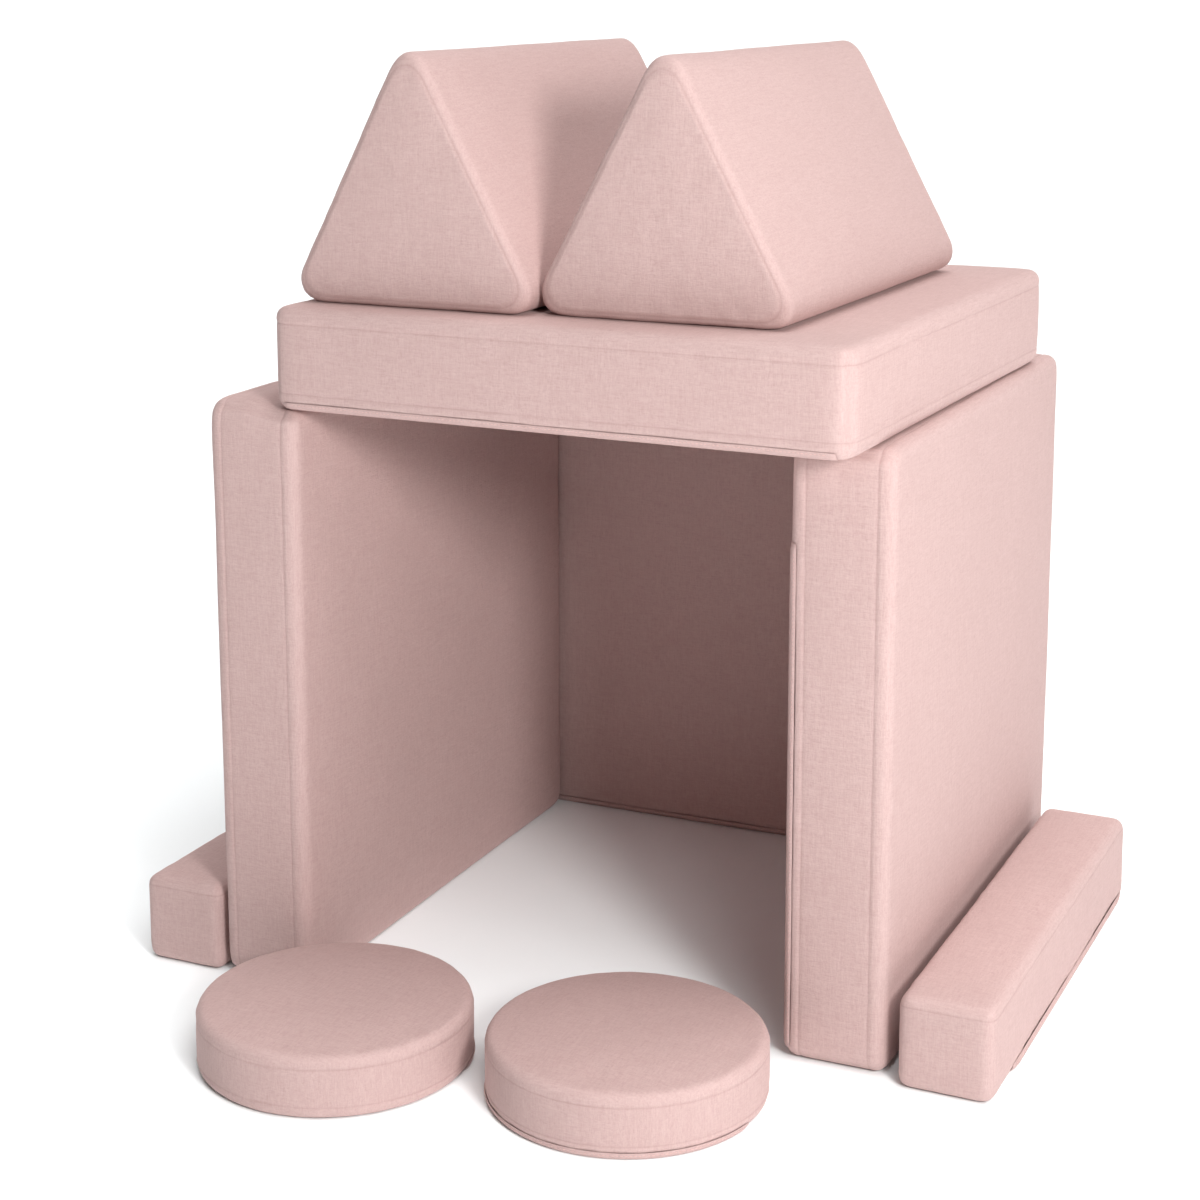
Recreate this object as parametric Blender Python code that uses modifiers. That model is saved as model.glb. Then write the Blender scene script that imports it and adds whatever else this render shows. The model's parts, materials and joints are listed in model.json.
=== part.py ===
"""A modular foam play sofa set up as a little house: ten loose cushions for a child to stack.

Three square panels stand as walls in a pinwheel and a fourth lies on them as the roof. Two triangular
prisms lie on the roof, a long bar lies outside each side wall, and two round cushions lie in front.
Each cushion is a foam core in a woven cover, closed by a zip along one of its edges. The zip's tape
lies behind a slot in the cover, its slider runs in the slot, and a sewn flap hides both.

Every cushion is modelled in its own frame, centred, with its zip along the edge at -Y and -Z, and an
empty places it. Metres, +Z up, X across the front, Y into the depth, the floor at zero, and the
origin under the middle of the whole set.
"""

import math
from dataclasses import dataclass

import bmesh
import bpy
from mathutils import Matrix, Vector
from mathutils.geometry import intersect_point_line

# The four square panels
PANEL_SIDE = 0.75
PANEL_THICKNESS = 0.126

# The two long bars, square in section
BAR_LENGTH = 0.688
BAR_SIDE = 0.1155

# The two triangular prisms
PRISM_BASE = 0.3545
PRISM_HEIGHT = 0.333
PRISM_LENGTH = 0.605

# The two round cushions
DISC_RADIUS = 0.1645
DISC_HEIGHT = 0.0765

# Soft edges, the flat band inside them, and how far the middle of a face swells
EDGE_RADIUS = 0.015
PRISM_EDGE_RADIUS = 0.030
PRISM_END_RADIUS = 0.010
DISC_EDGE_RADIUS = 0.012
CROWN_MARGIN = 0.035
PANEL_CROWN = 0.007
BAR_CROWN = 0.002
PRISM_CROWN = 0.005
DISC_CROWN = 0.005

# Sewn pieces
FABRIC_THICKNESS = 0.002
TAPE_THICKNESS = 0.001
FLAP_THICKNESS = 0.0013
SLIDER_LENGTH = 0.010
SLIDER_THICKNESS = 0.0013
SLIDER_SIDE_GAP = 0.0005
SLIDER_BEVEL = 0.0003
SLIDER_END_GAP = 0.002
TAPE_OVERLENGTH = 0.004
FLAP_OVERLENGTH = 0.006
PIECE_GAP = 0.0003
TAPE_GAP = 0.0008
CORE_EDGE_EXTRA = 0.003
CUT_OVERRUN = 0.002

# How the cushions are set out
ROOM_WIDTH = 0.612
LEFT_WALL_FORWARD = 0.068
WALL_BUTT_GAP = 0.0039
WALL_END_GAP = 0.0012
LEFT_BAR_TO_WALL_GAP = 0.008
RIGHT_BAR_TO_WALL_GAP = 0.0186
RIGHT_BAR_FORWARD = 0.0134
LEFT_BAR_SET_BACK = 0.0016
ROOF_TO_RIGHT = 0.0425
ROOF_FORWARD = 0.0734
ROOF_TURN = math.radians(-1.5)
PRISMS_TO_LEFT = 0.046
PRISM_FEET_GAP = 0.004
LEFT_PRISM_SET_BACK = 0.055
RIGHT_PRISM_SET_BACK = 0.067
PRISM_TURN = math.radians(-1.3)
DISCS_TO_LEFT = 0.0071
DISC_SIDE_GAP = 0.0232
LEFT_DISC_FORWARD = 0.2056
RIGHT_DISC_FORWARD = 0.1435

# How a face swells: for each ring, the share of the way in to the middle and the share of the swell
CROWN_RING_SHARES = ((0.3, 0.55), (0.7, 1.0))
DISC_SHOULDER_SHARE = 0.55
DISC_SHOULDER_RISE_SHARE = 0.75

# The zip's pieces, as shares of the flat in the middle of a rounded edge, of the radius and of the run
SLOT_WIDTH_SHARE = 0.9
FLAP_WIDTH_SHARE = 1.2
TAPE_WIDTH_SHARE = 1.45
ZIP_DEPTH_SHARE = 0.45
WHOLE_RUN_SHARES = (-0.92, 0.92)
RIGHT_WALL_RUN_SHARES = (-0.66, 0.92)

EDGE_SEGMENTS = 3
DISC_SEGMENTS = 40
CORE_DISC_SEGMENTS = 20
DISC_ZIP_STEPS = 17
DISC_ZIP_ARC = DISC_ZIP_STEPS * 2 * math.pi / DISC_SEGMENTS
SHARP_EDGE_ANGLE = math.radians(70)
SMOOTH_ANGLE = math.radians(48)
MERGE_DISTANCE = 0.00001

# A three-sided cylinder's base and height as shares of its radius, and the turn that lays it along X
TRIANGLE_BASE_SHARE = math.sqrt(3)
TRIANGLE_HEIGHT_SHARE = 1.5
LAY_ALONG_X = Matrix(((0, 0, 1), (1, 0, 0), (0, 1, 0))).to_4x4()

# Colour and roughness of each kind of piece
COVER_LOOK = ((0.72, 0.50, 0.47, 1.0), 0.9)
FLAP_LOOK = ((0.68, 0.46, 0.43, 1.0), 0.9)
FOAM_LOOK = ((0.85, 0.82, 0.70, 1.0), 0.95)
TAPE_LOOK = ((0.60, 0.40, 0.38, 1.0), 0.8)
SLIDER_LOOK = ((0.50, 0.33, 0.31, 1.0), 0.4)


@dataclass
class Cushion:
    """One cushion: its shape and size in its own frame, and its place in the room.

    The crowns say which ways its swollen faces look, and how far each of them swells.
    """

    name: str
    shape: str
    size: tuple
    location: tuple
    turn: Matrix
    crowns: tuple = ()
    run_shares: tuple = WHOLE_RUN_SHARES
    edge_radius: float = EDGE_RADIUS


def clear_scene():
    for obj in list(bpy.data.objects):
        bpy.data.objects.remove(obj)


def new_collection(name):
    collection = bpy.data.collections.new(name)
    bpy.context.scene.collection.children.link(collection)
    return collection


def paint(obj, look):
    colour, roughness = look
    material = bpy.data.materials.new(obj.name)
    material.use_nodes = True
    material.diffuse_color = colour
    shader = material.node_tree.nodes["Principled BSDF"]
    shader.inputs["Base Color"].default_value = colour
    shader.inputs["Roughness"].default_value = roughness
    shader.inputs["Metallic"].default_value = 0.0
    obj.data.materials.append(material)


def new_object(name, bm, collection, empty):
    """The mesh as an object, smooth except at its sharp edges, placed by the cushion's empty."""
    mesh = bpy.data.meshes.new(name)
    bm.to_mesh(mesh)
    bm.free()
    mesh.shade_smooth()
    mesh.set_sharp_from_angle(angle=SMOOTH_ANGLE)
    obj = bpy.data.objects.new(name, mesh)
    collection.objects.link(obj)
    obj.parent = empty
    return obj


def add_bevel(obj, width, segments):
    bevel = obj.modifiers.new("rounded edges", "BEVEL")
    bevel.width = width
    bevel.segments = segments
    bevel.limit_method = "ANGLE"
    bevel.angle_limit = SHARP_EDGE_ANGLE
    bevel.use_clamp_overlap = False


def add_screw(obj, steps):
    screw = obj.modifiers.new("turned", "SCREW")
    screw.steps = steps
    screw.render_steps = steps
    screw.use_merge_vertices = True
    screw.merge_threshold = MERGE_DISTANCE


def add_solidify(obj, thickness):
    solidify = obj.modifiers.new("cloth", "SOLIDIFY")
    solidify.thickness = thickness
    solidify.offset = -1.0
    solidify.use_even_offset = True


def add_boolean(obj, cutter, operation):
    boolean = obj.modifiers.new(cutter.name, "BOOLEAN")
    boolean.operation = operation
    boolean.object = cutter
    boolean.solver = "EXACT"


def swell(bm, direction, height):
    """The face that looks this way rises towards its middle, ring by ring, inside a flat band."""
    face = max(bm.faces, key=lambda face: face.normal.dot(direction))
    middle = face.calc_center_median()
    corners = [vert.co.copy() for vert in face.verts]
    reach = min(
        (middle - intersect_point_line(middle, start, end)[0]).length
        for start, end in zip(corners, corners[1:] + corners[:1])
    )
    bmesh.ops.inset_individual(bm, faces=[face], thickness=CROWN_MARGIN, use_even_offset=True)
    done_in, done_up = 0.0, 0.0
    for way_in, way_up in CROWN_RING_SHARES:
        bmesh.ops.inset_individual(
            bm,
            faces=[face],
            thickness=(reach - CROWN_MARGIN) * (way_in - done_in),
            depth=height * (way_up - done_up),
            use_even_offset=True,
        )
        done_in, done_up = way_in, way_up


def box_form(cushion, grow):
    """A block, every face moved out by grow."""
    size = [side + 2 * grow for side in cushion.size]
    bm = bmesh.new()
    bmesh.ops.create_cube(bm, size=1.0, matrix=Matrix.Diagonal(size).to_4x4())
    return bm


def prism_foot_angle(cushion):
    """The angle between a prism's base and its slope."""
    _, base, height = cushion.size
    return math.atan2(height, base / 2)


def prism_form(cushion, grow, segments):
    """A triangular prism lying along X on its base, every face moved out by grow, its corners round."""
    length, base, height = cushion.size
    inner_radius = base / 2 * math.tan(prism_foot_angle(cushion) / 2)
    scale = (inner_radius + grow) / inner_radius
    stretch = Matrix.Diagonal(
        (length + 2 * grow, base * scale / TRIANGLE_BASE_SHARE, height * scale / TRIANGLE_HEIGHT_SHARE)
    )
    lift = Matrix.Translation((0, 0, -height / 2 - grow + height * scale / 3))
    placed = lift @ stretch.to_4x4() @ LAY_ALONG_X
    bm = bmesh.new()
    bmesh.ops.create_cone(
        bm, cap_ends=True, segments=3, radius1=1.0, radius2=1.0, depth=1.0, matrix=placed
    )
    long_edges = [edge for edge in bm.edges if abs(edge.verts[0].co.x - edge.verts[1].co.x) > length / 2]
    bmesh.ops.bevel(
        bm,
        geom=long_edges,
        offset=(cushion.edge_radius + grow) / math.tan(prism_foot_angle(cushion) / 2),
        offset_type="OFFSET",
        segments=segments,
        profile=0.5,
        affect="EDGES",
        clamp_overlap=False,
    )
    return bm


def disc_profile(cushion, grow, corner, segments, crowned):
    """The right half of a round cushion's section, from the top of its axis down to the bottom."""
    radius = cushion.size[0] / 2 + grow
    half_height = cushion.size[2] / 2 + grow
    crown = DISC_CROWN if crowned else 0.0
    points = [Vector((0, 0, half_height + crown))]
    if crowned:
        shoulder = radius * DISC_SHOULDER_SHARE
        points.append(Vector((shoulder, 0, half_height + crown * DISC_SHOULDER_RISE_SHARE)))
    for level in (1, -1):
        for step in range(segments + 1):
            turned = step / segments if level > 0 else 1 - step / segments
            angle = math.pi / 2 * (1 - turned)
            across = radius - corner + corner * math.cos(angle)
            up = half_height - corner + corner * math.sin(angle)
            points.append(Vector((across, 0, level * up)))
    points.append(Vector((0, 0, -half_height)))
    bm = bmesh.new()
    verts = [bm.verts.new(point) for point in points]
    for upper, lower in zip(verts, verts[1:]):
        bm.edges.new((upper, lower))
    return bm


def make_form(cushion, name, collection, empty, grow, segments=EDGE_SEGMENTS, crowned=False):
    """A cushion's whole shape, moved out by grow, its edges rounded by this many segments.

    A single segment is for the foam, whose edges are pressed flatter.
    """
    is_prism = cushion.shape == "prism"
    corner = (PRISM_END_RADIUS if is_prism else cushion.edge_radius) + grow
    if segments == 1:
        corner += CORE_EDGE_EXTRA
    if cushion.shape == "disc":
        profile = disc_profile(cushion, grow, corner, segments, crowned)
        obj = new_object(name, profile, collection, empty)
        add_screw(obj, DISC_SEGMENTS if segments > 1 else CORE_DISC_SEGMENTS)
        return obj
    bm = prism_form(cushion, grow, segments) if is_prism else box_form(cushion, grow)
    bm.normal_update()
    if crowned:
        for direction, height in cushion.crowns:
            swell(bm, direction, height)
    obj = new_object(name, bm, collection, empty)
    add_bevel(obj, corner, segments)
    return obj


def zip_edge(cushion):
    """The edge with the zip: the point as far inside as the edge is round, and the corner's angle."""
    _, width, height = cushion.size
    corner = prism_foot_angle(cushion) if cushion.shape == "prism" else math.pi / 2
    inward = Vector((0, math.cos(corner / 2), math.sin(corner / 2)))
    tip = Vector((0, -width / 2, -height / 2))
    return tip + inward * (cushion.edge_radius / math.sin(corner / 2)), corner


def edge_place(cushion):
    """The zip edge's own frame: X along it and Z straight out of it, from its inner point."""
    centre, corner = zip_edge(cushion)
    return Matrix.Translation(centre) @ Matrix.Rotation(math.pi / 2 + corner / 2, 4, "X")


def flat_distance(cushion, grow):
    """From the inner point to the flat in the edge's middle, when the form is moved out by grow.

    A rounded edge is a quarter circle sheared to its corner, with an odd number of flats.
    """
    _, corner = zip_edge(cushion)
    way_in = 1 - math.cos(math.pi / 4) * math.cos(math.pi / 4 / EDGE_SEGMENTS)
    reach = (1 - 2 * way_in * math.cos(corner / 2) ** 2) / math.sin(corner / 2)
    return (cushion.edge_radius + grow) * reach


def flat_half_width(cushion):
    """Half the flat in the edge's middle, as far as the zip uses it: no more than on a panel's edge."""
    _, corner = zip_edge(cushion)
    flat_share = math.sqrt(2) * math.sin(math.pi / 4 / EDGE_SEGMENTS)
    on_this_edge = cushion.edge_radius * math.cos(corner / 2) * flat_share
    return min(on_this_edge, EDGE_RADIUS * math.cos(math.pi / 4) * flat_share)


def edge_block(cushion, run, half_width, near, far):
    """A block on the zip's edge, from near to far out of the arc's centre. It bends round a disc."""
    start, end = run
    middle = (near + far) / 2
    bm = bmesh.new()
    if cushion.shape != "disc":
        place = edge_place(cushion) @ Matrix.Translation(((start + end) / 2, 0, middle))
        size = Matrix.Diagonal((end - start, 2 * half_width, far - near)).to_4x4()
        bmesh.ops.create_cube(bm, size=1.0, matrix=place @ size)
        return bm
    place = Matrix.Rotation(start, 4, "Z") @ edge_place(cushion) @ Matrix.Translation((0, 0, middle))
    upright = Matrix.Rotation(math.pi / 2, 4, "Y")
    size = Matrix.Diagonal(((far - near) / 2, half_width, 1.0)).to_4x4()
    bmesh.ops.create_grid(bm, x_segments=1, y_segments=1, size=1.0, matrix=place @ upright @ size)
    bmesh.ops.spin(
        bm,
        geom=bm.verts[:] + bm.edges[:] + bm.faces[:],
        cent=(0, 0, 0),
        axis=(0, 0, 1),
        angle=end - start,
        steps=DISC_ZIP_STEPS,
        use_duplicate=False,
    )
    bmesh.ops.recalc_face_normals(bm, faces=bm.faces)
    return bm


def zip_run(cushion):
    """Where the slot starts and ends along the edge: in metres, or in radians round a disc."""
    if cushion.shape == "disc":
        return -DISC_ZIP_ARC / 2, DISC_ZIP_ARC / 2
    return tuple(cushion.size[0] / 2 * share for share in cushion.run_shares)


def lengthen(run, extra, cushion):
    """The run made longer at each end by a length, which round a disc becomes an angle."""
    if cushion.shape == "disc":
        extra = extra / (cushion.size[0] / 2)
    start, end = run
    return start - extra, end + extra


def make_cutter(name, bm, cutters, empty):
    cutter = new_object(name, bm, cutters, empty)
    cutter.hide_render = True
    cutter.display_type = "WIRE"
    return cutter


def make_core(cushion, parts, empty):
    """The foam block, its edges pressed flat by the cover."""
    grow = -FABRIC_THICKNESS - PIECE_GAP
    core = make_form(cushion, f"{cushion.name}_core", parts, empty, grow, segments=1)
    paint(core, FOAM_LOOK)


def make_cover(cushion, parts, cutters, empty):
    """The woven cover: one thickness of cloth over the whole form, open at the zip's slot."""
    cover = make_form(cushion, f"{cushion.name}_cover", parts, empty, 0.0, crowned=True)
    add_solidify(cover, FABRIC_THICKNESS)
    near = flat_distance(cushion, -FABRIC_THICKNESS) - CUT_OVERRUN
    far = flat_distance(cushion, 0.0) + CUT_OVERRUN
    half_width = flat_half_width(cushion) * SLOT_WIDTH_SHARE
    block = edge_block(cushion, zip_run(cushion), half_width, near, far)
    cutter = make_cutter(f"{cushion.name}_slot_cutter", block, cutters, empty)
    add_boolean(cover, cutter, "DIFFERENCE")
    paint(cover, COVER_LOOK)


def make_strip(cushion, kind, grow, thickness, width_share, overlength, parts, cutters, empty):
    """A strip of cloth that follows the rounded edge: what a block keeps of a whole thin shell."""
    strip = make_form(cushion, f"{cushion.name}_{kind}", parts, empty, grow)
    add_solidify(strip, thickness)
    run = lengthen(zip_run(cushion), overlength, cushion)
    near = cushion.edge_radius * ZIP_DEPTH_SHARE
    far = flat_distance(cushion, grow) + CUT_OVERRUN
    block = edge_block(cushion, run, flat_half_width(cushion) * width_share, near, far)
    cutter = make_cutter(f"{cushion.name}_{kind}_cutter", block, cutters, empty)
    add_boolean(strip, cutter, "INTERSECT")
    return strip


def make_tape(cushion, parts, cutters, empty):
    """The zip's tape, behind the slot and wider than it."""
    grow = -FABRIC_THICKNESS - TAPE_GAP
    extra = TAPE_OVERLENGTH
    tape = make_strip(
        cushion, "zip", grow, TAPE_THICKNESS, TAPE_WIDTH_SHARE, extra, parts, cutters, empty
    )
    paint(tape, TAPE_LOOK)


def make_flap(cushion, parts, cutters, empty):
    """The flap that is sewn over the zip."""
    grow = PIECE_GAP + FLAP_THICKNESS
    extra = FLAP_OVERLENGTH
    flap = make_strip(
        cushion, "flap", grow, FLAP_THICKNESS, FLAP_WIDTH_SHARE, extra, parts, cutters, empty
    )
    paint(flap, FLAP_LOOK)


def make_slider(cushion, parts, empty):
    """The zip's slider, without a tab, at the start of the slot between the tape and the flap."""
    lowest = flat_distance(cushion, -FABRIC_THICKNESS - TAPE_GAP)
    highest = flat_distance(cushion, PIECE_GAP)
    along, _ = zip_run(cushion)
    along += SLIDER_END_GAP + SLIDER_LENGTH / 2
    turn = Matrix()
    if cushion.shape == "disc":
        radius = cushion.size[0] / 2
        highest -= radius * (1 - math.cos(math.pi / DISC_SEGMENTS))
        start, _ = zip_run(cushion)
        turn = Matrix.Rotation(start + (SLIDER_END_GAP + SLIDER_LENGTH / 2) / radius, 4, "Z")
        along = 0.0
    half_width = flat_half_width(cushion) * SLOT_WIDTH_SHARE - SLIDER_SIDE_GAP
    place = edge_place(cushion) @ Matrix.Translation((along, 0, (lowest + highest) / 2))
    size = Matrix.Diagonal((SLIDER_LENGTH, 2 * half_width, SLIDER_THICKNESS)).to_4x4()
    bm = bmesh.new()
    bmesh.ops.create_cube(bm, size=1.0, matrix=turn @ place @ size)
    slider = new_object(f"{cushion.name}_slider", bm, parts, empty)
    add_bevel(slider, SLIDER_BEVEL, 1)
    paint(slider, SLIDER_LOOK)


def make_cushion(cushion, origin, parts, cutters):
    empty = bpy.data.objects.new(f"{cushion.name}_place", None)
    parts.objects.link(empty)
    empty.matrix_world = Matrix.Translation(Vector(cushion.location) - origin) @ cushion.turn
    make_core(cushion, parts, empty)
    make_cover(cushion, parts, cutters, empty)
    make_tape(cushion, parts, cutters, empty)
    make_slider(cushion, parts, empty)
    make_flap(cushion, parts, cutters, empty)


def facing(x_axis, y_axis):
    """The turn that takes a cushion's own X and Y to these directions in the room."""
    x, y = Vector(x_axis), Vector(y_axis)
    return Matrix((x, y, x.cross(y))).transposed().to_4x4()


def swollen(height, *directions):
    """The swell of the faces that look these ways in the cushion's own frame."""
    return tuple((Vector(direction).normalized(), height) for direction in directions)


def walls():
    """Three panels on edge: each side wall's end meets the next wall's face."""
    half_room = ROOM_WIDTH / 2
    beside = half_room + PANEL_THICKNESS / 2
    middle = PANEL_SIDE / 2
    left_rear = PANEL_SIDE - LEFT_WALL_FORWARD
    on_edge = (PANEL_SIDE, PANEL_THICKNESS, PANEL_SIDE)
    return (
        Cushion(
            "back_wall",
            "box",
            on_edge,
            (half_room - WALL_END_GAP - middle, left_rear + WALL_BUTT_GAP + PANEL_THICKNESS / 2, middle),
            facing((1, 0, 0), (0, 1, 0)),
            crowns=swollen(PANEL_CROWN, (0, -1, 0), (0, 1, 0)),
        ),
        Cushion(
            "left_wall",
            "box",
            on_edge,
            (-beside, middle - LEFT_WALL_FORWARD, middle),
            facing((0, 0, -1), (1, 0, 0)),
            crowns=swollen(PANEL_CROWN, (0, -1, 0), (0, 1, 0)),
        ),
        Cushion(
            "right_wall",
            "box",
            (PANEL_SIDE, PANEL_SIDE, PANEL_THICKNESS),
            (beside, middle, middle),
            facing((0, 0, -1), (0, 1, 0)),
            crowns=swollen(PANEL_CROWN, (0, 0, -1), (0, 0, 1)),
            run_shares=RIGHT_WALL_RUN_SHARES,
        ),
    )


def roof():
    """The fourth panel, lying on the side walls, with both its faces pressed flat."""
    return (
        Cushion(
            "roof",
            "box",
            (PANEL_SIDE, PANEL_SIDE, PANEL_THICKNESS),
            (ROOF_TO_RIGHT, PANEL_SIDE / 2 - ROOF_FORWARD, PANEL_SIDE + PIECE_GAP + PANEL_THICKNESS / 2),
            Matrix.Rotation(ROOF_TURN, 4, "Z"),
        ),
    )


def prisms():
    """Two prisms side by side on the roof, along its depth."""
    size = (PRISM_LENGTH, PRISM_BASE, PRISM_HEIGHT)
    foot = math.atan2(PRISM_HEIGHT, PRISM_BASE / 2)
    turned = math.pi / 2 * (EDGE_SEGMENTS - 1) / EDGE_SEGMENTS
    rounded_off_share = 1 - math.sin(turned) + (1 - math.cos(turned)) * math.cos(foot)
    rounded_off = PRISM_EDGE_RADIUS / math.tan(foot / 2) * rounded_off_share
    half_spacing = (PRISM_BASE + PRISM_FEET_GAP) / 2 - rounded_off
    middle_x = ROOF_TO_RIGHT - PRISMS_TO_LEFT
    front = -ROOF_FORWARD + PRISM_LENGTH / 2
    roof_top = PANEL_SIDE + PANEL_THICKNESS + 2 * PIECE_GAP
    turn = Matrix.Rotation(PRISM_TURN, 4, "Z") @ facing((0, -1, 0), (1, 0, 0))
    slopes = ((0, -PRISM_HEIGHT, PRISM_BASE / 2), (0, PRISM_HEIGHT, PRISM_BASE / 2))
    crowns = swollen(PRISM_CROWN, *slopes)
    places = (
        ("left_prism", middle_x - half_spacing, front + LEFT_PRISM_SET_BACK),
        ("right_prism", middle_x + half_spacing, front + RIGHT_PRISM_SET_BACK),
    )
    return tuple(
        Cushion(
            name,
            "prism",
            size,
            (x, y, roof_top + PRISM_HEIGHT / 2),
            turn,
            crowns,
            edge_radius=PRISM_EDGE_RADIUS,
        )
        for name, x, y in places
    )


def bars():
    """A bar on the floor outside each side wall, its zip low on the outer side."""
    size = (BAR_LENGTH, BAR_SIDE, BAR_SIDE)
    beside = ROOM_WIDTH / 2 + PANEL_THICKNESS + BAR_SIDE / 2
    left_x = -beside - LEFT_BAR_TO_WALL_GAP
    left_y = BAR_LENGTH / 2 - LEFT_WALL_FORWARD + LEFT_BAR_SET_BACK
    right_x = beside + RIGHT_BAR_TO_WALL_GAP
    right_y = BAR_LENGTH / 2 - RIGHT_BAR_FORWARD
    crowns = swollen(BAR_CROWN, (0, 0, 1))
    places = (
        ("left_bar", left_x, left_y, facing((0, -1, 0), (1, 0, 0))),
        ("right_bar", right_x, right_y, facing((0, 1, 0), (-1, 0, 0))),
    )
    return tuple(
        Cushion(name, "box", size, (x, y, BAR_SIDE / 2), turn, crowns) for name, x, y, turn in places
    )


def discs():
    """Two round cushions before the room. The right one's zip is in front and the left one's behind."""
    size = (2 * DISC_RADIUS, 2 * DISC_RADIUS, DISC_HEIGHT)
    half_spacing = DISC_RADIUS + DISC_SIDE_GAP / 2
    left_x = -DISCS_TO_LEFT - half_spacing
    right_x = -DISCS_TO_LEFT + half_spacing
    places = (
        ("left_disc", left_x, -LEFT_DISC_FORWARD, facing((-1, 0, 0), (0, -1, 0))),
        ("right_disc", right_x, -RIGHT_DISC_FORWARD, facing((1, 0, 0), (0, 1, 0))),
    )
    return tuple(
        Cushion(name, "disc", size, (x, y, DISC_HEIGHT / 2), turn, edge_radius=DISC_EDGE_RADIUS)
        for name, x, y, turn in places
    )


def set_origin():
    """The floor point under the middle of the set, between the bars and from the front disc to the rear."""
    middle = (RIGHT_BAR_TO_WALL_GAP - LEFT_BAR_TO_WALL_GAP) / 2
    rear = PANEL_SIDE - LEFT_WALL_FORWARD + WALL_BUTT_GAP + PANEL_THICKNESS + PANEL_CROWN
    front = -LEFT_DISC_FORWARD - DISC_RADIUS
    return Vector((middle, (rear + front) / 2, 0))


def main():
    clear_scene()
    parts = new_collection("modular_play_sofa")
    cutters = new_collection("cutters")
    origin = set_origin()
    for cushion in walls() + roof() + prisms() + bars() + discs():
        make_cushion(cushion, origin, parts, cutters)


main()
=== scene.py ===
"""A modular foam play sofa set up as a little house, dressed for a studio picture.

Ten loose cushions in blush woven covers. Every cushion is a closed soft form in its own frame, with
its zip along the edge at -Y and -Z: a grid of the cover is filled out by a cloth simulation, pressed
flat where it rests on something, and creased where its panels are sewn together.
"""

import json
import math
from dataclasses import dataclass, field
from itertools import pairwise, product

import bmesh
import bpy
import numpy as np
from mathutils import Matrix, Vector, noise


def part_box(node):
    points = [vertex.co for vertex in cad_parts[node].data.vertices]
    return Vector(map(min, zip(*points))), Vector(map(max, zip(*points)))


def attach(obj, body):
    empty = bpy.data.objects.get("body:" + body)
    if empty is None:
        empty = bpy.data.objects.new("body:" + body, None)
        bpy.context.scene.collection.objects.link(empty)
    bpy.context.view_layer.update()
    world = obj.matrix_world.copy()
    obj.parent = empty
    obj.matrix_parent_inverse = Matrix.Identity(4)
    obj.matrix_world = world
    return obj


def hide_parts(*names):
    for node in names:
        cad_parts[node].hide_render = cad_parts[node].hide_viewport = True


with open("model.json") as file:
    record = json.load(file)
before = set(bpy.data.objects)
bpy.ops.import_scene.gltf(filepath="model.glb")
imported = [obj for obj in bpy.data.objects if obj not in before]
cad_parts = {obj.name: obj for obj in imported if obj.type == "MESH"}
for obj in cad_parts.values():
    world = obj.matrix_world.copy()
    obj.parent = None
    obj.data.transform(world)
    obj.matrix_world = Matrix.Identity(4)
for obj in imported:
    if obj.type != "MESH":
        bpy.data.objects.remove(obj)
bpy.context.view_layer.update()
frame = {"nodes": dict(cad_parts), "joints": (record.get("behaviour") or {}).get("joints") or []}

bl_info = {
    "name": "Foam Play Sofa",
    "version": (1, 0, 0),
    "blender": (4, 5, 0),
    "location": "View3D > Sidebar > Play Sofa",
    "description": "Makes the cushions of a modular foam play sofa, their zips and a studio round them",
    "category": "Object",
}

MAKE = "play_sofa.make_"


# Sizes, colours and lights that a user can change


def length(name, description, default):
    return bpy.props.FloatProperty(
        name=name, description=description, default=default, subtype="DISTANCE"
    )


def strength(name, description, default, subtype="NONE"):
    return bpy.props.FloatProperty(
        name=name, description=description, default=default, min=0.0, subtype=subtype
    )


def colour(name, description, default):
    return bpy.props.FloatVectorProperty(
        name=name, description=description, default=default, size=3, subtype="COLOR"
    )


class CushionSizes(bpy.types.PropertyGroup):
    """The sizes of the ten cushions."""

    panel_side: length("Panel side", "Side of a square panel", 0.75)
    panel_thickness: length("Panel thickness", "Thickness of a square panel", 0.126)
    bar_length: length("Bar length", "Length of a long bar", 0.688)
    bar_side: length("Bar side", "Side of a bar's square section", 0.1155)
    prism_length: length("Prism length", "Length of a prism", 0.605)
    prism_base: length("Prism base", "Width of a prism's base between its sharp corners", 0.3545)
    prism_height: length("Prism height", "Height of a prism up to its sharp ridge", 0.333)
    disc_radius: length("Round cushion radius", "Radius of a round cushion", 0.1645)
    disc_height: length("Round cushion height", "Height of a round cushion", 0.0765)
    edge_radius: length("Edge radius", "Radius of the panels' and bars' edges", 0.015)
    outline_radius: length("Outline radius", "Radius of the corners of a panel's outline", 0.026)
    prism_edge_radius: length("Prism edge radius", "Radius of a prism's long edges", 0.030)
    end_edge_radius: length("Prism end radius", "Radius round a prism's ends", 0.014)
    disc_edge_radius: length("Round edge radius", "Radius of a round cushion's edges", 0.012)


class Sewing(bpy.types.PropertyGroup):
    """How the covers are sewn and filled."""

    panel_seam: length("Panel seam", "From a panel's face to the seam", 0.0205)
    bar_seam: length("Bar seam", "From a bar's top to the seam", 0.0125)
    disc_seam: length("Round seam", "From a round face to the seam", 0.0155)
    flap_half_width: length("Flap half width", "Half the width of a zip's flap", 0.0062)
    flap_rise: length("Flap rise", "How far a zip's flap stands out", 0.0024)
    lip_rise: length("Lip rise", "How far the flap that gapes stands out", 0.0052)
    lip_half_width: length("Lip half width", "Half the width of the flap that gapes", 0.0090)
    seam_depth: length("Seam depth", "How deep a seam draws the cover in", 0.0007)
    pucker: length("Pucker", "Height of the puckers beside a seam", 0.0008)
    waviness: length("Waviness", "How far the foam's faces wander", 0.0010)
    filling: strength("Filling", "Pressure that fills the covers out", 4.0)


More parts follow.
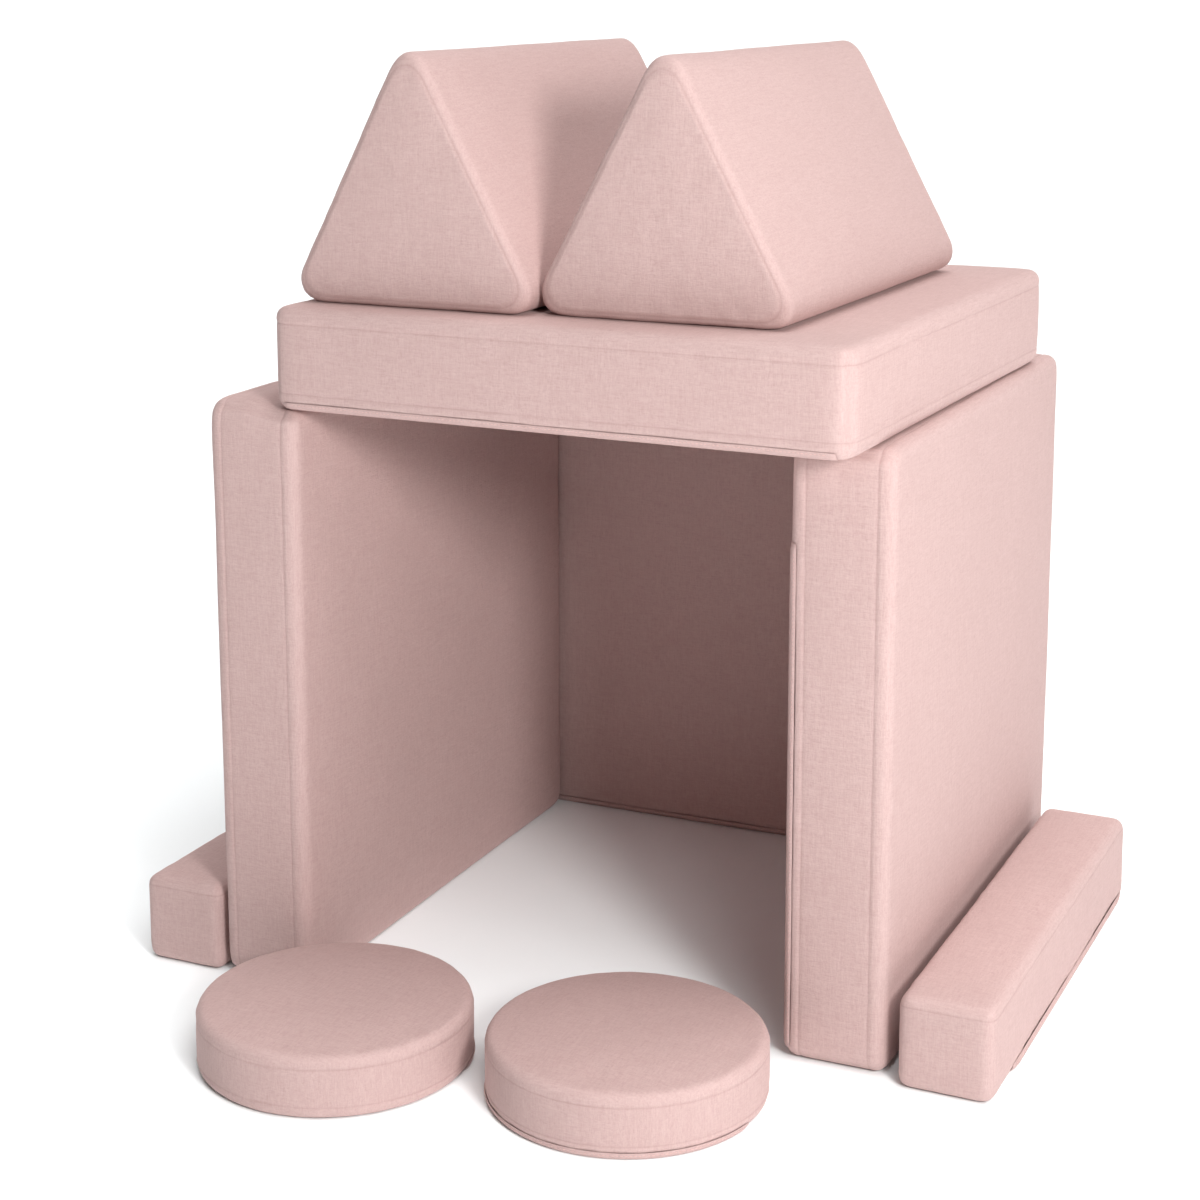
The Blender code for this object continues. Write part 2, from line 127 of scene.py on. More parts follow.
class ClothColours(bpy.types.PropertyGroup):
    """The colours of the covers and their small parts."""

    cover: colour("Cover", "Woven cover", (0.53, 0.366, 0.348))
    slub: colour("Slub", "Pale thick threads", (0.64, 0.475, 0.455))
    thread_shade: colour("Shade", "Gaps between threads", (0.39, 0.25, 0.235))
    stitch: colour("Stitch", "Sewing thread", (0.60, 0.37, 0.345))
    tape: colour("Tape", "Zip tape", (0.42, 0.22, 0.20))
    slider: colour("Slider", "Lacquered zip slider", (0.30, 0.13, 0.12))
    foam: colour("Foam", "Foam core", (0.78, 0.70, 0.50))


class Studio(bpy.types.PropertyGroup):
    """The floor and the lights."""

    floor: colour("Floor", "Pale floor", (0.875, 0.905, 0.91))
    key_power: strength("Key light", "Power of the large soft light", 78.0, "POWER")
    ceiling_strength: strength("Ceiling light", "Strength of the wide light from above", 2.6)
    rear_strength: strength("Rear light", "Strength of the wide light from behind", 0.9)
    floor_strength: strength("Floor light", "Strength of the light that whitens the floor", 1.6)
    fill_strength: strength("Room light", "Strength of the light from all round", 0.12)


GROUPS = {"sizes": CushionSizes, "sewing": Sewing, "colours": ClothColours, "studio": Studio}


def settings(name):
    """One group of the user's settings."""
    return getattr(bpy.context.scene, f"play_sofa_{name}")


# Finishes


class Number:
    """A socket that carries a number, so that sums and products are written as such."""

    def __init__(self, finish, socket):
        self.finish = finish
        self.socket = socket

    def join(self, operation, *values, clamp=False):
        node_settings = {"operation": operation, "use_clamp": clamp}
        node = self.finish.node("ShaderNodeMath", node_settings, dict(enumerate(values)))
        return Number(self.finish, node.outputs[0])

    def __add__(self, other):
        return self.join("ADD", self, other)

    def __radd__(self, other):
        return self.join("ADD", other, self)

    def __sub__(self, other):
        return self.join("SUBTRACT", self, other)

    def __rsub__(self, other):
        return self.join("SUBTRACT", other, self)

    def __mul__(self, other):
        return self.join("MULTIPLY", self, other)

    def __rmul__(self, other):
        return self.join("MULTIPLY", other, self)

    def __pow__(self, other):
        return self.join("POWER", self, other)

    def clamped(self):
        return self.join("ADD", self, 0.0, clamp=True)

    def scaled(self, share, added=0.0):
        """This number times a share and with a number added, kept between 0 and 1."""
        return (self * share + added).clamped()


class Finish:
    """One material and its nodes."""

    def __init__(self, name):
        self.material = bpy.data.materials.new(name)
        self.material.use_nodes = True
        self.tree = self.material.node_tree
        self.shader = self.tree.nodes["Principled BSDF"]

    def node(self, kind, node_settings=None, inputs=None):
        """A node of this kind: its settings first, then the values or links of its sockets."""
        node = self.tree.nodes.new(kind)
        for name, value in (node_settings or {}).items():
            setattr(node, name, value)
        for name, value in (inputs or {}).items():
            self.put(node.inputs[name], value)
        return node

    def put(self, socket, value):
        if isinstance(value, Number):
            value = value.socket
        if isinstance(value, bpy.types.NodeSocket):
            self.tree.links.new(value, socket)
        else:
            socket.default_value = value

    def vector(self, operation, first, second):
        """A vector made from two, which are values or links."""
        inputs = {0: first, 1: second}
        return self.node("ShaderNodeVectorMath", {"operation": operation}, inputs).outputs[0]

    def place(self):
        """Where a point lies in the piece's own frame, in metres."""
        return self.node("ShaderNodeTexCoord").outputs["Object"]

    def facing(self):
        """Which way the surface faces in the piece's own frame, as three numbers."""
        normal = self.node("ShaderNodeNewGeometry").outputs["Normal"]
        turned = self.node(
            "ShaderNodeVectorTransform",
            {"vector_type": "NORMAL", "convert_from": "WORLD", "convert_to": "OBJECT"},
            {"Vector": normal},
        )
        parts = self.node("ShaderNodeSeparateXYZ", None, {0: turned.outputs[0]})
        return [Number(self, parts.outputs[axis]) for axis in range(3)]

    def marked(self, attribute):
        """A number that the mesh notes at each of its points."""
        node = self.node("ShaderNodeAttribute", {"attribute_name": attribute})
        return Number(self, node.outputs["Fac"])

    def noise(self, place, scale=1.0, detail=2.0):
        inputs = {"Vector": place, "Scale": scale, "Detail": detail, "Roughness": 0.5}
        made = self.node("ShaderNodeTexNoise", {"noise_dimensions": "3D"}, inputs)
        return Number(self, made.outputs[0])

    def mix(self, factor, first, second):
        """A colour between two colours, which are values or links."""
        node = self.node("ShaderNodeMix", {"data_type": "RGBA"})
        colours = [socket for socket in node.inputs if socket.type == "RGBA"]
        self.put(node.inputs[0], factor)
        for socket, mixed in zip(colours, (first, second)):
            self.put(socket, mixed)
        return next(socket for socket in node.outputs if socket.type == "RGBA")

    def bump(self, height, strength, distance):
        inputs = {"Height": height, "Strength": strength, "Distance": distance}
        return self.node("ShaderNodeBump", None, inputs).outputs[0]

    def set(self, **values):
        """Puts values or links on the shader's own sockets."""
        for name, value in values.items():
            self.put(self.shader.inputs[name.replace("_", " ")], value)


def tint(plain, share=1.0):
    """An opaque colour, made paler or darker by a share."""
    return (*(min(1.0, value * share) for value in plain), 1.0)


# The weave, in features per metre along a thread and across it, and the cloth's slow patches
SLUB_ALONG = 44.0
SLUB_ACROSS = 430.0
THREAD_ALONG = 170.0
THREAD_ACROSS = 880.0
PATCHES = 9.0

# How much of another tone each of these brings in: by its strength, and everywhere
SLUB_TONE = (0.85, 0.22)
THREAD_TONE = (-0.8, 0.08)
PATCH_TONE = (0.5, 0.10)
# Paler rounded edges: partly wear, partly a painted highlight
WEAR_AND_HIGHLIGHT_TONE = (0.4, 0.16)
# Darker seams: painted shade in their creases
SEAM_SHADE_TONE = (0.8, 0.42)
SEAM_SHADE_SHARPNESS = 3
PATCH_SHADE = 0.93

# How much the slubs and the threads stand out, and the height of the whole weave
SLUB_HEIGHT = 0.6
THREAD_HEIGHT = 1.2
WEAVE_BUMP = 0.26
WEAVE_DEPTH = 0.0010

# The small parts, in features per metre
FIBRES = 1500.0
TAPE_ALONG = 90.0
TAPE_ACROSS = 1100.0
RUBS = 420.0
FOAM_CELLS = 650.0
FOAM_STAINS = 14.0


def crossed_threads(finish, place, facing, along, across, detail):
    """Threads along each of the three axes, each kind only on the faces that it lies in."""
    total = 0.0
    for axis, faced in enumerate(facing):
        scale = [across] * 3
        scale[axis] = along
        threads = finish.noise(finish.vector("MULTIPLY", place, scale), detail=detail)
        total = total + (1 - faced * faced) * (threads - 0.5)
    return total


def linen(name, seed):
    """The heathered woven cloth of the covers, each cut from another place of the roll."""
    colours = settings("colours")
    finish = Finish(name)
    place = finish.vector("ADD", finish.place(), (seed, -seed, seed / 2))
    facing = finish.facing()
    slubs = crossed_threads(finish, place, facing, SLUB_ALONG, SLUB_ACROSS, 3.0)
    threads = crossed_threads(finish, place, facing, THREAD_ALONG, THREAD_ACROSS, 1.0)
    patches = finish.noise(place, scale=PATCHES, detail=3.0) - 0.5
    slub, shade = tint(colours.slub), tint(colours.thread_shade)
    tone = finish.mix(slubs.scaled(*SLUB_TONE), tint(colours.cover), slub)
    tone = finish.mix(threads.scaled(*THREAD_TONE), tone, shade)
    tone = finish.mix(patches.scaled(*PATCH_TONE), tone, tint(colours.cover, PATCH_SHADE))
    # Paler along the rounded edges: partly wear, partly a painted highlight
    by_slubs, everywhere = WEAR_AND_HIGHLIGHT_TONE
    wear_and_highlight = finish.marked("wear_and_highlight") * (slubs * by_slubs + everywhere)
    tone = finish.mix(wear_and_highlight.clamped(), tone, slub)
    # Darker along the seams: painted shade in the creases where they draw the cover in
    by_patches, everywhere = SEAM_SHADE_TONE
    sewn = finish.marked("sewn") ** SEAM_SHADE_SHARPNESS * (patches * by_patches + everywhere)
    tone = finish.mix(sewn.clamped(), tone, shade)
    height = slubs * SLUB_HEIGHT + threads * THREAD_HEIGHT
    finish.set(
        Base_Color=tone,
        Roughness=slubs.scaled(-0.25, 0.88),
        Normal=finish.bump(height, WEAVE_BUMP, WEAVE_DEPTH),
        Sheen_Weight=0.20,
        Sheen_Roughness=0.45,
        Sheen_Tint=tint(colours.slub, 1.25),
        Specular_IOR_Level=0.25,
    )
    return finish.material


def thread(name):
    """Twisted sewing thread."""
    stitch = settings("colours").stitch
    finish = Finish(name)
    fibres = finish.noise(finish.place(), scale=FIBRES)
    finish.set(
        Base_Color=finish.mix(fibres, tint(stitch), tint(stitch, 1.25)),
        Roughness=fibres.scaled(0.2, 0.62),
        Normal=finish.bump(fibres, 0.3, 0.0003),
        Sheen_Weight=0.2,
    )
    return finish.material


def ribbed_tape(name):
    """The zip's tape: fine ribs across it, paler where the ribs stand high."""
    tape = settings("colours").tape
    finish = Finish(name)
    ribs = crossed_threads(finish, finish.place(), finish.facing(), TAPE_ALONG, TAPE_ACROSS, 1.0)
    finish.set(
        Base_Color=finish.mix(ribs.scaled(2.2, 0.4), tint(tape), tint(tape, 1.5)),
        Roughness=ribs.scaled(-0.3, 0.72),
        Normal=finish.bump(ribs, 0.5, 0.0005),
        Sheen_Weight=0.1,
    )
    return finish.material


def lacquer(name):
    """The slider's lacquered metal, rubbed in places."""
    slider = settings("colours").slider
    finish = Finish(name)
    rubbed = finish.noise(finish.place(), scale=RUBS, detail=4.0).scaled(3.0, -1.4)
    finish.set(
        Base_Color=finish.mix(rubbed, tint(slider), tint(slider, 2.2)),
        Roughness=rubbed.scaled(0.2, 0.32),
        Normal=finish.bump(rubbed, 0.1, 0.0002),
        Metallic=rubbed.scaled(0.6),
    )
    return finish.material


def cut_foam(name):
    """Open-cell foam as the saw leaves it."""
    foam = settings("colours").foam
    finish = Finish(name)
    place = finish.place()
    inputs = {"Vector": place, "Scale": FOAM_CELLS}
    cells = finish.node("ShaderNodeTexVoronoi", {"feature": "F1"}, inputs)
    cells = Number(finish, cells.outputs["Distance"])
    stains = finish.noise(place, scale=FOAM_STAINS, detail=3.0)
    tone = finish.mix(cells.scaled(1.2), tint(foam), tint(foam, 0.72))
    finish.set(
        Base_Color=finish.mix(stains.scaled(0.5), tone, tint(foam, 0.9)),
        Roughness=cells.scaled(-0.1, 0.98),
        Normal=finish.bump(cells, 0.6, 0.0008),
    )
    return finish.material


# The cushions

UP = (0, 0, 1)
DOWN = (0, 0, -1)
NEAR = (0, -1, 0)
FAR = (0, 1, 0)
LEFT = (-1, 0, 0)
RIGHT = (1, 0, 0)

PANEL_SWELL = 0.0075
SIDE_SWELL = 0.0012
SLOPE_SWELL = 0.0055
END_SWELL = 0.0030
BAR_SWELL = 0.0035
DISC_SWELL = 0.0060


@dataclass
class Form:
    """A cushion's grid: where each point starts, which way it faces, and how firmly a seam holds it.

    Seam is 1 in the middle of a seam and 0 away from it.
    """

    points: np.ndarray
    normals: np.ndarray
    faces: list
    seam: np.ndarray


@dataclass
class Cushion:
    """One cushion: its thin axis, its X and Y axes, its faces' swells, and its zip's run.

    The swells are for faces named by their own direction. The run is in halves of the length.
    """

    name: str
    kind: str
    thin: int = 2
    x_axis: tuple = RIGHT
    y_axis: tuple = FAR
    swells: dict = field(default_factory=dict)
    run: tuple = (-0.92, 0.92)
    rests: bool = False
    gapes: bool = False
    seed: float = 0.0


def swell(amount, *faces):
    """The same swell for several faces."""
    return dict.fromkeys(faces, amount)


def turned_axes(joint_name):
    """The level axes of a cushion that is turned a little, by the way that its zip runs."""
    joint = next(joint for joint in frame["joints"] if joint["name"] == joint_name)
    along = Vector(joint["axis"])
    return tuple(along), tuple(Vector(UP).cross(along))


PANEL_SWELLS = swell(PANEL_SWELL, NEAR, FAR)
PRISM_SWELLS = swell(SLOPE_SWELL, NEAR, FAR) | swell(END_SWELL, LEFT, RIGHT)
ROOF_AXES = turned_axes("roof_zip")
PRISM_AXES = turned_axes("left_prism_zip")
TOP_SWELL = swell(BAR_SWELL, UP)
DISC_SWELLS = swell(DISC_SWELL, UP)

CUSHIONS = (
    Cushion(
        "back_wall",
        "panel",
        thin=1,
        swells=PANEL_SWELLS | swell(SIDE_SWELL, LEFT, UP),
        rests=True,
        seed=1.7,
    ),
    Cushion(
        "left_wall", "panel", 1, DOWN, RIGHT, PANEL_SWELLS | swell(SIDE_SWELL, DOWN), seed=5.3
    ),
    Cushion(
        "right_wall",
        "panel",
        2,
        DOWN,
        FAR,
        swell(PANEL_SWELL, UP, DOWN) | swell(SIDE_SWELL, NEAR, FAR),
        run=(-0.66, 0.92),
        seed=9.1,
    ),
    Cushion(
        "roof",
        "panel",
        2,
        *ROOF_AXES,
        swell(SIDE_SWELL, NEAR, FAR, RIGHT) | swell(-SIDE_SWELL, LEFT),
        rests=True,
        seed=13.9,
    ),
    Cushion("left_prism", "prism", 2, *PRISM_AXES, PRISM_SWELLS, rests=True, seed=17.3),
    Cushion("right_prism", "prism", 2, *PRISM_AXES, PRISM_SWELLS, rests=True, seed=22.1),
    Cushion(
        "left_bar",
        "bar",
        2,
        NEAR,
        RIGHT,
        TOP_SWELL | swell(SIDE_SWELL, NEAR, LEFT, RIGHT),
        rests=True,
        seed=26.7,
    ),
    Cushion(
        "right_bar",
        "bar",
        2,
        FAR,
        LEFT,
        TOP_SWELL | swell(SIDE_SWELL, NEAR, FAR, LEFT, RIGHT),
        run=(-0.70, 0.92),
        rests=True,
        gapes=True,
        seed=31.1,
    ),
    Cushion("left_disc", "disc", 2, LEFT, NEAR, DISC_SWELLS, rests=True, seed=35.9),
    Cushion("right_disc", "disc", swells=DISC_SWELLS, rests=True, seed=40.3),
)


def size_of(cushion):
    """The plain form's size in the cushion's own frame."""
    sizes = settings("sizes")
    if cushion.kind == "panel":
        size = [sizes.panel_side] * 3
        size[cushion.thin] = sizes.panel_thickness
        return Vector(size)
    if cushion.kind == "bar":
        return Vector((sizes.bar_length, sizes.bar_side, sizes.bar_side))
    if cushion.kind == "prism":
        return Vector((sizes.prism_length, sizes.prism_base, sizes.prism_height))
    return Vector((2 * sizes.disc_radius, 2 * sizes.disc_radius, sizes.disc_height))


def place_of(cushion):
    """Where the cushion stands: its axes, and its middle over the middle of its foam core."""
    x, y = Vector(cushion.x_axis), Vector(cushion.y_axis)
    turn = Matrix((x, y, x.cross(y))).transposed().to_4x4()
    lowest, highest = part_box(f"{cushion.name}_core")
    middle = (Vector(lowest) + Vector(highest)) / 2
    if cushion.kind == "prism":
        lowest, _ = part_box(f"{cushion.name}_cover")
        middle.z = lowest[2] + size_of(cushion).z / 2
    return Matrix.Translation(middle) @ turn


# Forms

# The grids, in metres and in steps
PANEL_STEP = 0.015
SMALL_STEP = 0.0125
ROUND_STEPS = 2
CORNER_STEPS = 10
DISC_EDGE_STEPS = 4
RING_STEPS = 96
SEAM_ROWS = (-0.0030, -0.0012, 0.0, 0.0012, 0.0030)
SEAM_SHARES = (0.0, 0.62, 1.0, 0.62, 0.0)
ROW_APART = 0.0015
OUTLINE_POWER = 8.0
SAME_POINT = 7
SAME_LEVEL = 1e-6
TINY = 1e-9

# Where the rows lie round a prism's end edge, in degrees from its flat end, and the seam's hold there
END_TURNS = (
    (0, 0.0),
    (8, 0.0),
    (18, 0.62),
    (25, 1.0),
    (32, 0.62),
    (42, 0.0),
    (60, 0.0),
    (75, 0.0),
    (90, 0.0),
)


def rows_along(half, radius, step, seams=()):
    """Where the grid's rows cross an axis: close together in the rounded edges and at the seams."""
    turns = [math.radians(45) * index / ROUND_STEPS for index in range(ROUND_STEPS + 1)]
    marks = [half - radius + radius * math.tan(turn) for turn in turns]
    seam_rows = [seam + row for seam in seams for row in SEAM_ROWS]
    marks = [level for mark in marks for level in (-mark, mark)]
    marks = [mark for mark in marks if all(abs(mark - row) > ROW_APART for row in seam_rows)]
    stops = sorted(marks + seam_rows)
    rows = stops[:1]
    for start, end in pairwise(stops):
        count = max(1, round((end - start) / step))
        rows += [start + (end - start) * index / count for index in range(1, count + 1)]
    return rows


def seam_share(value, seams):
    """How strongly a seam holds a row that lies here."""
    share = 0.0
    for seam, (row, held) in product(seams, zip(SEAM_ROWS, SEAM_SHARES)):
        if abs(value - seam - row) < SAME_LEVEL:
            share = max(share, held)
    return share


def block_form(size, radius, step, thin, seam_inset, seam_sides=(-1, 1), outline_radius=0.0):
    """A block with rounded edges and a seam all round near its two large faces, or near one."""
    half = size / 2
    seams = [side * (half[thin] - seam_inset) for side in seam_sides]
    rows = [rows_along(half[axis], radius, step, seams if axis == thin else ()) for axis in range(3)]
    index_of = {}
    points, faces = [], []

    def point(place):
        key = tuple(round(value, SAME_POINT) for value in place)
        if key not in index_of:
            index_of[key] = len(points)
            points.append(place)
        return index_of[key]

    for axis in range(3):
        second, third = (axis + 1) % 3, (axis + 2) % 3
        for level in (-half[axis], half[axis]):
            cells = product(pairwise(rows[second]), pairwise(rows[third]))
            for (a, a_next), (b, b_next) in cells:
                corners = []
                for u, v in ((a, b), (a_next, b), (a_next, b_next), (a, b_next)):
                    place = [0.0, 0.0, 0.0]
                    place[axis], place[second], place[third] = level, u, v
                    corners.append(point(tuple(place)))
                faces.append(corners if level > 0 else corners[::-1])
    seam = np.array([seam_share(place[thin], seams) for place in points])
    sharp = np.array(points)
    inner = np.clip(sharp, -np.array(half) + radius, np.array(half) - radius)
    outward = sharp - inner
    outward /= np.linalg.norm(outward, axis=1)[:, None]
    rounded = inner + outward * radius
    if outline_radius > radius:
        rounded = round_outline(rounded, half, thin, outline_radius)
        outward = mesh_normals(rounded, faces)
    return Form(rounded, outward, faces, seam)


def round_outline(points, half, thin, radius):
    """Rounds the four short edges of a panel's square outline more than its long ones."""
    wide = [axis for axis in range(3) if axis != thin]
    corner = np.abs(points[:, wide]) - (np.array(half)[wide] - radius)
    in_corner = (corner > 0).all(axis=1)
    reach = (np.abs(corner) ** OUTLINE_POWER).sum(axis=1) ** (1 / OUTLINE_POWER)
    scale = np.where(in_corner, reach / np.maximum(np.linalg.norm(corner, axis=1), TINY), 1.0)
    moved = points.copy()
    moved[:, wide] += np.sign(points[:, wide]) * corner * (scale[:, None] - 1)
    return moved


def bent_corner(before, tip, after, radius):
    """The points of a rounded corner: a quarter circle sheared between the corner's two sides."""
    first = (before - tip).normalized()
    second = (after - tip).normalized()
    reach = radius / math.tan(first.angle(second) / 2)
    start, end = tip + first * reach, tip + second * reach
    turns = [math.pi / 2 * index / CORNER_STEPS for index in range(CORNER_STEPS + 1)]
    return [
        start + (tip - start) * math.sin(turn) + (end - tip) * (1 - math.cos(turn)) for turn in turns
    ]


def triangle_outline(size, radius, step):
    """A prism's section as one closed line of points, from its zip edge round."""
    _, base, height = size
    tips = [
        Vector((-base / 2, -height / 2)),
        Vector((base / 2, -height / 2)),
        Vector((0, height / 2)),
    ]
    corners = [
        bent_corner(tips[index - 1], tip, tips[(index + 1) % 3], radius)
        for index, tip in enumerate(tips)
    ]
    outline = []
    for index, corner in enumerate(corners):
        outline += corner
        start, end = corner[-1], corners[(index + 1) % 3][0]
        count = round((end - start).length / step)
        outline += [start.lerp(end, share / count) for share in range(1, count)]
    return outline


def turned_form(rings, seam_of_ring, close):
    """A skin over rings of points, one ring after another, closed by a point at each end."""
    count = len(rings[0])
    points = [point for ring in rings for point in ring]
    seam = [share for ring, share in zip(rings, seam_of_ring) for _ in ring]
    faces = []
    for ring, index in product(range(len(rings) - 1), range(count)):
        following = (index + 1) % count
        low, high = ring * count, (ring + 1) * count
        faces.append([low + index, low + following, high + following, high + index])
    for end, middle in ((0, close[0]), (len(rings) - 1, close[1])):
        points.append(middle)
        seam.append(0.0)
        start = end * count
        for index in range(count):
            edge = [start + index, start + (index + 1) % count]
            faces.append([*(edge if end else edge[::-1]), len(points) - 1])
    points = np.array(points, dtype=float)
    return Form(points, mesh_normals(points, faces), faces, np.array(seam))


def prism_form(size, radius, end_radius, step):
    """A prism lying along X: a wrap round its three sides, and two ends sewn in at their edges."""
    span = size[0]
    outline = triangle_outline(size, radius, step)
    foot = math.atan2(size[2], size[1] / 2)
    inner_radius = size[1] / 2 * math.tan(foot / 2)
    middle = Vector((0, inner_radius - size[2] / 2))
    flat = inner_radius - end_radius
    count = round(flat / step)
    profile = [(inner_radius - flat * index / count, 0.0, 0.0) for index in range(1, count)]
    for degrees, share in END_TURNS:
        turn = math.radians(degrees)
        profile.append((end_radius * (1 - math.sin(turn)), end_radius * (1 - math.cos(turn)), share))
    rings = []
    for inwards, back, share in profile:
        scale = 1 - inwards / inner_radius
        ring = [middle + (point - middle) * scale for point in outline]
        rings.append((back - span / 2, ring, share))
    ends = rings[:]
    between = span - 2 * end_radius
    count = round(between / step)
    for index in range(1, count):
        rings.append((-span / 2 + end_radius + between * index / count, outline, 0.0))
    rings += [(-x, ring, share) for x, ring, share in reversed(ends)]
    placed = [[(x, point.x, point.y) for point in ring] for x, ring, _ in rings]
    close = ((-span / 2, middle.x, middle.y), (span / 2, middle.x, middle.y))
    return turned_form(placed, [share for _, _, share in rings], close)


def disc_form(size, radius, step, inset):
    """A round cushion: two round faces sewn to the strip round its side."""
    reach, half = size[0] / 2, size[2] / 2
    flat = reach - radius
    turns = [math.radians(90) * index / DISC_EDGE_STEPS for index in range(DISC_EDGE_STEPS + 1)]
    edge = [
        (flat + radius * math.sin(turn), -half + radius - radius * math.cos(turn)) for turn in turns
    ]
    count = round(flat / step)
    face = [(flat * index / count, -half) for index in range(1, count)]
    seam = [(reach, -half + inset + row) for row in SEAM_ROWS]
    lower = face + edge + seam
    between = seam[-1][1]
    count = max(1, round(-2 * between / step))
    side = [(reach, between - 2 * between * index / count) for index in range(1, count)]
    profile = lower + side + [(across, -up) for across, up in reversed(lower)]
    seams, rings = [], []
    angles = [2 * math.pi * index / RING_STEPS for index in range(RING_STEPS)]
    for across, up in profile:
        on_side = abs(across - reach) < TINY
        seams.append(seam_share(half - abs(up), (inset,)) * on_side)
        rings.append([(across * math.cos(angle), across * math.sin(angle), up) for angle in angles])
    return turned_form(rings, seams, ((0, 0, -half), (0, 0, half)))


def plain_form(cushion):
    """The cushion's grid before it is filled."""
    sizes, sewing = settings("sizes"), settings("sewing")
    size = size_of(cushion)
    if cushion.kind == "panel":
        return block_form(
            size,
            sizes.edge_radius,
            PANEL_STEP,
            cushion.thin,
            sewing.panel_seam,
            outline_radius=sizes.outline_radius,
        )
    if cushion.kind == "bar":
        return block_form(size, sizes.edge_radius, SMALL_STEP, cushion.thin, sewing.bar_seam, (1,))
    if cushion.kind == "prism":
        return prism_form(size, sizes.prism_edge_radius, sizes.end_edge_radius, SMALL_STEP)
    return disc_form(size, sizes.disc_edge_radius, SMALL_STEP, sewing.disc_seam)


# Meshes


def linked(name, data):
    """A new object in the scene."""
    obj = bpy.data.objects.new(name, data)
    bpy.context.scene.collection.objects.link(obj)
    return obj


def new_mesh(name, points, faces):
    mesh = bpy.data.meshes.new(name)
    mesh.from_pydata(np.asarray(points).tolist(), [], faces)
    mesh.update()
    return mesh


def vectors_of(items, what):
    """A vector of each of a mesh's points."""
    vectors = np.empty(len(items) * 3)
    items.foreach_get(what, vectors)
    return vectors.reshape(-1, 3)


def points_of(mesh):
    return vectors_of(mesh.vertices, "co")


def normals_of(mesh):
    return vectors_of(mesh.vertex_normals, "vector")


def mesh_normals(points, faces):
    mesh = new_mesh("form", points, faces)
    normals = normals_of(mesh)
    bpy.data.meshes.remove(mesh)
    return normals


def mark(mesh, name, values):
    """Notes a number at each of the mesh's points, for its finish."""
    mesh.attributes.new(name, "FLOAT", "POINT").data.foreach_set("value", values)


def mark_wear_and_highlight(mesh):
    """Notes how round the surface is at each point, for the paler rounded edges: partly wear, because
    the edges rub first, and partly a painted highlight.
    """
    normals = normals_of(mesh)
    edges = np.empty(len(mesh.edges) * 2, dtype=int)
    mesh.edges.foreach_get("vertices", edges)
    first, second = edges.reshape(-1, 2).T
    bend = 1 - np.einsum("ij,ij->i", normals[first], normals[second])
    wear_and_highlight = np.zeros(len(mesh.vertices))
    np.maximum.at(wear_and_highlight, first, bend)
    np.maximum.at(wear_and_highlight, second, bend)
    mark(mesh, "wear_and_highlight", np.clip(wear_and_highlight * WEAR_AND_HIGHLIGHT_GAIN, 0, 1))


def smooth_finer(obj):
    """One level of subdivision, made real."""
    subdivision = obj.modifiers.new("smooth", "SUBSURF")
    subdivision.levels = 1
    subdivision.render_levels = 1
    shown = obj.evaluated_get(bpy.context.evaluated_depsgraph_get())
    finer = bpy.data.meshes.new_from_object(shown)
    obj.modifiers.clear()
    coarse = obj.data
    obj.data = finer
    bpy.data.meshes.remove(coarse)
    finer.name = obj.name


# Filling and covers

# How far a cover starts inside its plain form before it is filled, in how many steps it is filled,
# and how far the foam lies inside
SLACK = 0.0006
SIM_FRAMES = 20
FOAM_INSET = 0.0065

# The cloth that is filled, held at its seams
CLOTH = {
    "quality": 5,
    "mass": 0.3,
    "tension_stiffness": 40,
    "compression_stiffness": 40,
    "shear_stiffness": 20,
    "bending_stiffness": 2.0,
    "vertex_group_mass": "sewn",
    "use_pressure": True,
}

# How sharply a face ends, which points are well inside it, and what counts as its fullest
FACE_SHARPNESS = 8
INSIDE_FACE = 0.9
FULLEST = 99

# How far puckers reach from a seam, and puckers, waves and the paler rounded edges (partly wear, partly
# a painted highlight) over the cover
PUCKER_REACH = 0.014
PRISM_PUCKER_REACH = 0.02
PUCKERS_PER_METRE = 55.0
WAVES_PER_METRE = 7.5
WEAR_AND_HIGHLIGHT_GAIN = 40

# How near a cushion comes to what it touches, and how the left wall's top stands up beside the roof
TOUCHING = 0.0004
LEANING = 0.0006
FREE_TOP_RISE = 0.0070
FREE_TOP_START = -0.346
FREE_TOP_END = -0.388
FREE_TOP_BAND = 0.05

# How far a wall's cover stays from the foam of the wall that it meets
LEFT_OFF_BACK = 0.0062
RIGHT_OFF_BACK = 0.0030
BACK_OFF_LEFT = 0.0023
BACK_OFF_RIGHT = 0.0026

# How far past the other wall's foam a wall's face is pressed
PRESSED_BESIDE_BACK = 0.012
PRESSED_BEHIND_LEFT = 0.010
PRESSED_DEPTH = 0.02


def filled_out(form):
    """How far each point moves out when the cover is filled: cloth held at its seams, blown up."""
    start = form.points - form.normals * SLACK
    obj = linked("filling", new_mesh("filling", start, form.faces))
    held = obj.vertex_groups.new(name=CLOTH["vertex_group_mass"])
    held.add(np.nonzero(form.seam > 0)[0].tolist(), 1.0, "REPLACE")
    cloth = obj.modifiers.new("cover", "CLOTH")
    for name, value in CLOTH.items():
        setattr(cloth.settings, name, value)
    cloth.settings.uniform_pressure_force = settings("sewing").filling
    cloth.settings.effector_weights.gravity = 0
    cloth.point_cache.frame_start = 1
    cloth.point_cache.frame_end = SIM_FRAMES
    for step in range(1, SIM_FRAMES + 1):
        bpy.context.scene.frame_set(step)
    filled = obj.evaluated_get(bpy.context.evaluated_depsgraph_get())
    moved = points_of(filled.data) - start
    bpy.context.scene.frame_set(1)
    bpy.data.objects.remove(obj)
    return np.einsum("ij,ij->i", moved, form.normals)


FILLINGS = {}


def filling_of(cushion, form):
    """The filling of this kind of cushion, worked out once for all that are alike."""
    key = (cushion.kind, cushion.thin)
    if key not in FILLINGS:
        FILLINGS[key] = filled_out(form)
    return FILLINGS[key]


